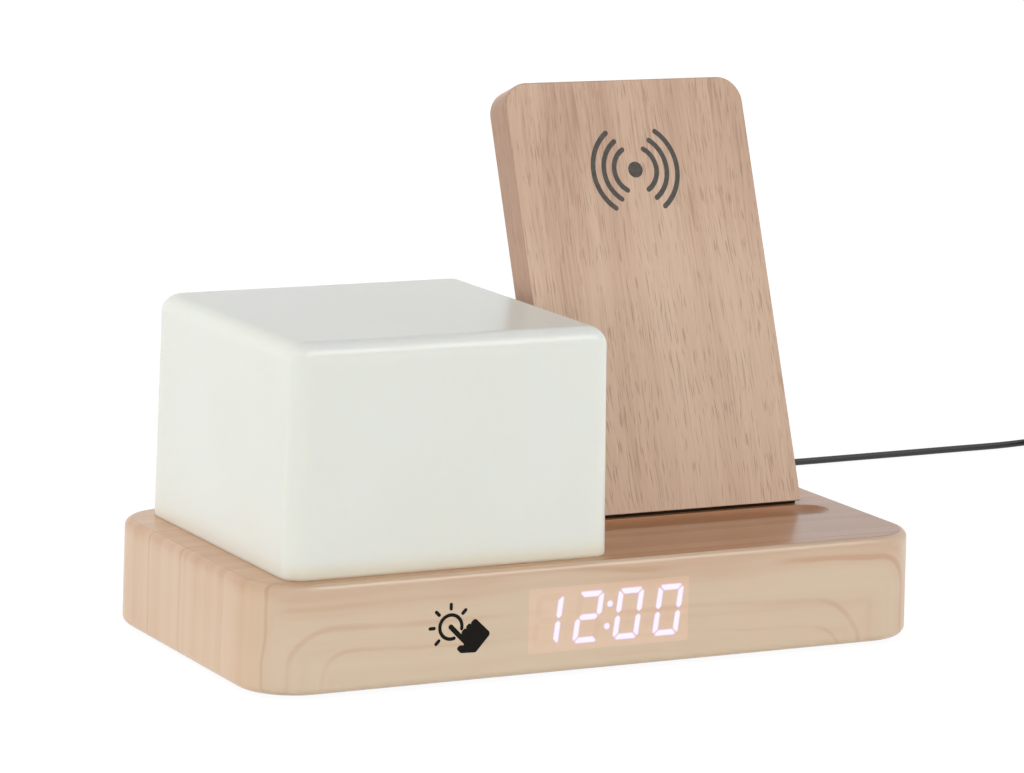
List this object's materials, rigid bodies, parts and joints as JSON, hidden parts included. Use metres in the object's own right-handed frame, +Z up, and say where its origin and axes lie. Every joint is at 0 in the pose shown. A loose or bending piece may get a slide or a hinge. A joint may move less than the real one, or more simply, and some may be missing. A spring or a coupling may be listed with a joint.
{
  "type": "bedside alarm clock with lamp and phone charger",
  "caption": "Wood-grain bedside clock base with a lit digit display, a milky box lamp, a leaning charger panel with a phone groove, rear setting buttons and a supply lead.",
  "frame": {"origin": "on the table, below the centre of the base", "axes": "+X to the right along the base, towards the charger panel; +Y to the back; +Z up"},
  "size_m": [0.4559, 0.2363, 0.1459],
  "materials": {
    "maple_film": "satin maple-grain film over a moulded shell",
    "oak_film": "satin oak-grain film over a moulded shell",
    "milky_plastic": "milky, soft gloss",
    "window_film": "thin maple-grain film, lit from behind",
    "lit_digits": "glowing white",
    "lamp_light": "pale yellow lens",
    "white_plastic": "matt",
    "dark_plastic": "fine texture",
    "button_plastic": "satin",
    "rubber": "matt",
    "cord_cover": "smooth, slight gloss",
    "wire_cover": "smooth",
    "circuit_board": "gloss lacquer",
    "steel": "plain",
    "copper": "lacquered wire",
    "ferrite": "matt sintered"
  },
  "bodies": {
    "clock": {"base_housing": "maple_film", "bottom_cover": "dark_plastic", "cover_screws": "steel", "rubber_feet": "rubber", "display_window": "window_film", "lit_segments": "lit_digits", "unlit_segments": "window_film", "display_reflector": "white_plastic", "display_board": "circuit_board", "display_ribbon": "white_plastic", "touch_pad": "copper", "touch_wire": "wire_cover", "main_board": "circuit_board", "board_parts": "dark_plastic", "board_screws": "steel", "buzzer": "dark_plastic", "cell_holder": "white_plastic", "coin_cell": "steel", "supply_socket": "steel", "button_switches": "dark_plastic", "lamp_shade": "milky_plastic", "lamp_tray": "white_plastic", "light_board": "white_plastic", "lamp_lights": "lamp_light", "shade_screws": "steel", "tray_screws": "steel", "lamp_wires": "wire_cover", "charger_front": "oak_film", "charger_back": "oak_film", "charger_screws": "steel", "charging_coil": "copper", "ferrite_plate": "ferrite", "charger_board": "circuit_board", "charger_board_screws": "steel", "charger_wires": "wire_cover", "neck_plate": "steel", "neck_screws": "steel", "cord_plug": "cord_cover", "plug_tip": "steel", "cord_lead": "cord_cover", "cord_coil": "cord_cover", "cord_tie": "rubber", "usb_plug": "cord_cover", "usb_plug_shell": "steel"},
    "set_key": {"set_button": "button_plastic", "set_plunger": "white_plastic"},
    "up_key": {"up_button": "button_plastic", "up_plunger": "white_plastic"},
    "down_key": {"down_button": "button_plastic", "down_plunger": "white_plastic"}
  },
  "joints": [
    {"name": "set_press", "type": "slide", "parent": "clock", "child": "set_key", "axis": [0, -1, 0], "range_m": [0, 0.0005], "stiffness_N_per_m": 1500},
    {"name": "up_press", "type": "slide", "parent": "clock", "child": "up_key", "axis": [0, -1, 0], "range_m": [0, 0.0005], "stiffness_N_per_m": 1500},
    {"name": "down_press", "type": "slide", "parent": "clock", "child": "down_key", "axis": [0, -1, 0], "range_m": [0, 0.0005], "stiffness_N_per_m": 1500}
  ]
}
